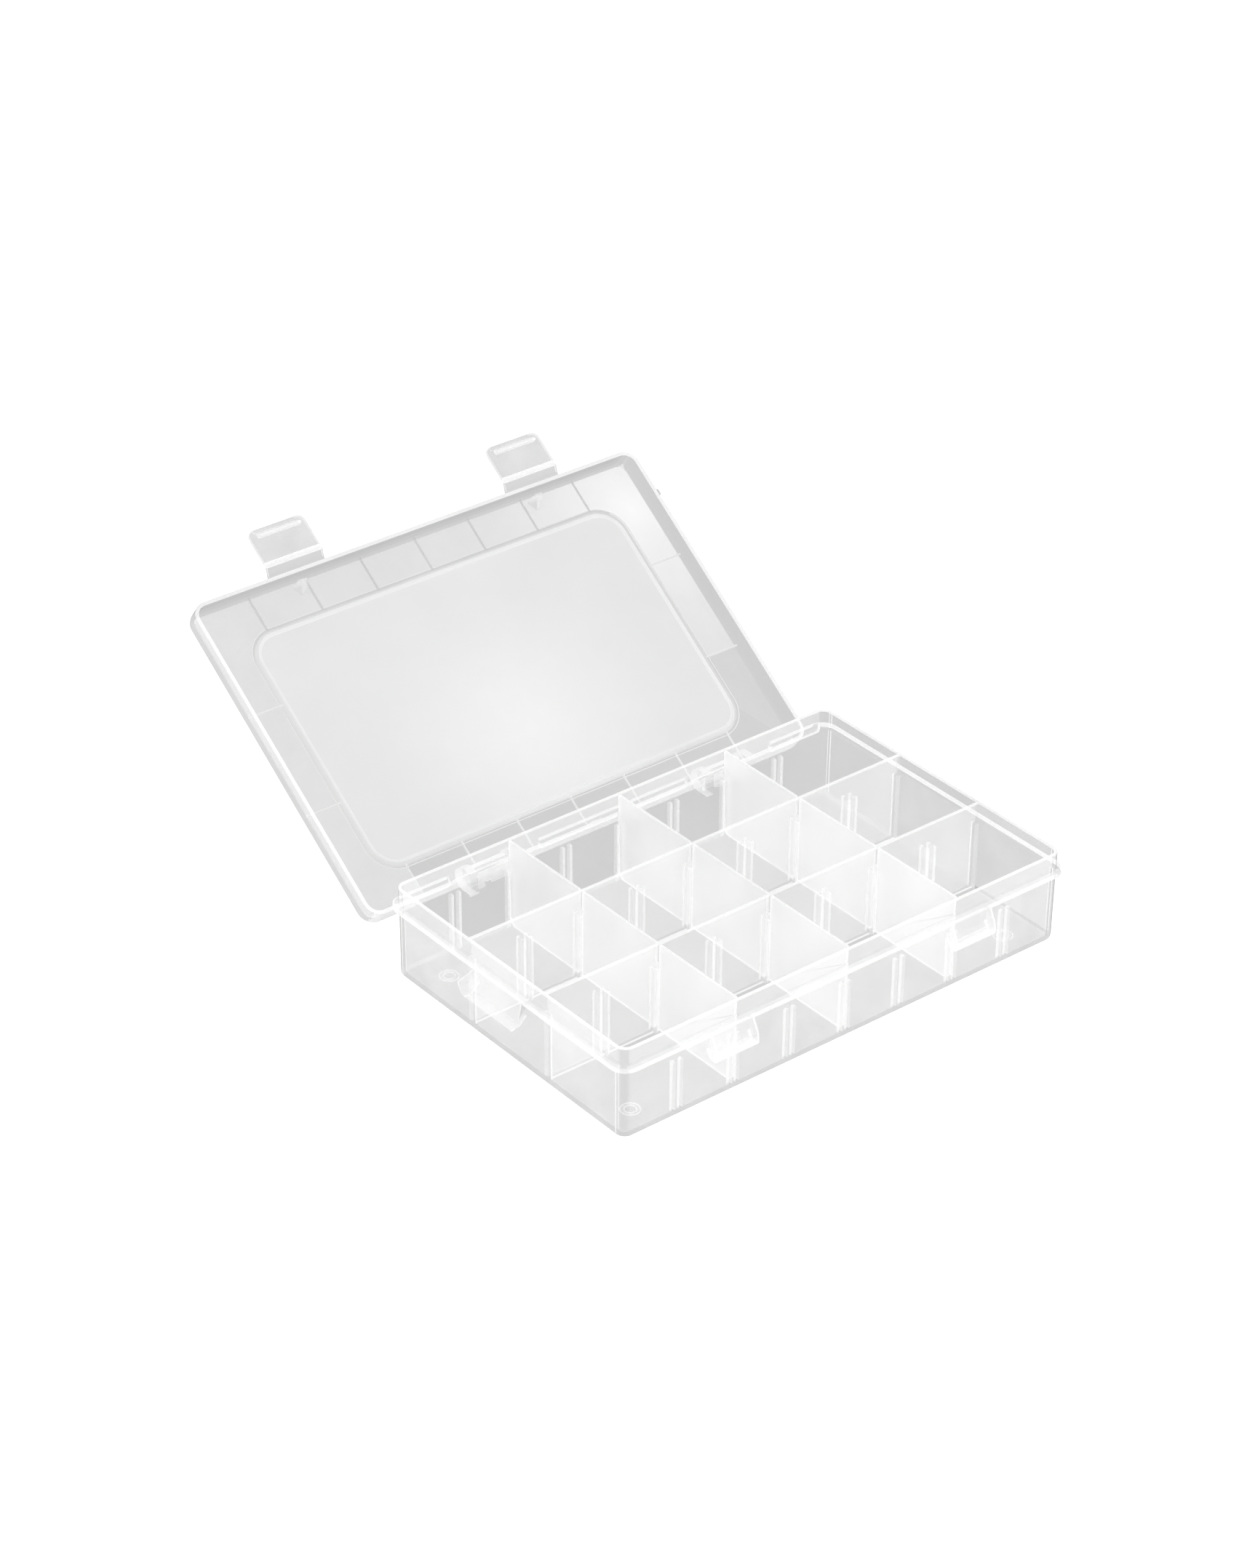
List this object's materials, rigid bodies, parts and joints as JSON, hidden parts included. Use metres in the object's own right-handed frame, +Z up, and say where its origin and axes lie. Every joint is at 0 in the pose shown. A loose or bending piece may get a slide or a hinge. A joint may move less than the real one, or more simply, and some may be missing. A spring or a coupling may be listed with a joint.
{
  "type": "tackle box",
  "caption": "Clear rectangular tackle box with compartments, lift-out dividers, and a hinged lid held by two fold-over latches.",
  "frame": {"origin": "centre of the tray's flat underside", "axes": "+X along the long side, +Y towards the hinge side, -Y towards the latches, +Z up. The lid stands open at rest."},
  "size_m": [0.2088, 0.2685, 0.1094],
  "materials": {
    "tray_plastic": "clear moulded polypropylene, slightly milky, glossy",
    "lid_plastic": "clear moulded polypropylene, satin frosted centre panel",
    "latch_plastic": "clear moulded polypropylene, glossy",
    "divider_plastic": "milky moulded polypropylene sheet, satin"
  },
  "bodies": {
    "base_tray": {"base_tray": "tray_plastic"},
    "lid": {"lid": "lid_plastic"},
    "latch_left": {"latch_left": "latch_plastic"},
    "latch_right": {"latch_right": "latch_plastic"},
    "divider_front_1": {"divider_front_1": "divider_plastic"},
    "divider_front_2": {"divider_front_2": "divider_plastic"},
    "divider_front_3": {"divider_front_3": "divider_plastic"},
    "divider_middle_1": {"divider_middle_1": "divider_plastic"},
    "divider_middle_2": {"divider_middle_2": "divider_plastic"},
    "divider_middle_3": {"divider_middle_3": "divider_plastic"},
    "divider_back_1": {"divider_back_1": "divider_plastic"},
    "divider_back_2": {"divider_back_2": "divider_plastic"},
    "divider_back_3": {"divider_back_3": "divider_plastic"}
  },
  "joints": [
    {"name": "lid_hinge", "type": "hinge", "parent": "base_tray", "child": "lid", "pos_m": [0, 0.06913, 0.0236], "axis": [-1, 0, 0], "range_deg": [-144.5, 35.5]},
    {"name": "latch_left_fold", "type": "hinge", "parent": "lid", "child": "latch_left", "pos_m": [-0.0545, 0.18671, 0.10059], "axis": [-1, 0, 0], "range_deg": [-90, 60]},
    {"name": "latch_right_fold", "type": "hinge", "parent": "lid", "child": "latch_right", "pos_m": [0.0545, 0.18671, 0.10059], "axis": [-1, 0, 0], "range_deg": [-90, 60]},
    {"name": "divider_front_1_lift", "type": "slide", "parent": "base_tray", "child": "divider_front_1", "axis": [0, 0, 1], "range_m": [0, 0.04]},
    {"name": "divider_front_2_lift", "type": "slide", "parent": "base_tray", "child": "divider_front_2", "axis": [0, 0, 1], "range_m": [0, 0.04]},
    {"name": "divider_front_3_lift", "type": "slide", "parent": "base_tray", "child": "divider_front_3", "axis": [0, 0, 1], "range_m": [0, 0.04]},
    {"name": "divider_middle_1_lift", "type": "slide", "parent": "base_tray", "child": "divider_middle_1", "axis": [0, 0, 1], "range_m": [0, 0.04]},
    {"name": "divider_middle_2_lift", "type": "slide", "parent": "base_tray", "child": "divider_middle_2", "axis": [0, 0, 1], "range_m": [0, 0.04]},
    {"name": "divider_middle_3_lift", "type": "slide", "parent": "base_tray", "child": "divider_middle_3", "axis": [0, 0, 1], "range_m": [0, 0.04]},
    {"name": "divider_back_1_lift", "type": "slide", "parent": "base_tray", "child": "divider_back_1", "axis": [0, 0, 1], "range_m": [0, 0.04]},
    {"name": "divider_back_2_lift", "type": "slide", "parent": "base_tray", "child": "divider_back_2", "axis": [0, 0, 1], "range_m": [0, 0.04]},
    {"name": "divider_back_3_lift", "type": "slide", "parent": "base_tray", "child": "divider_back_3", "axis": [0, 0, 1], "range_m": [0, 0.04]}
  ]
}
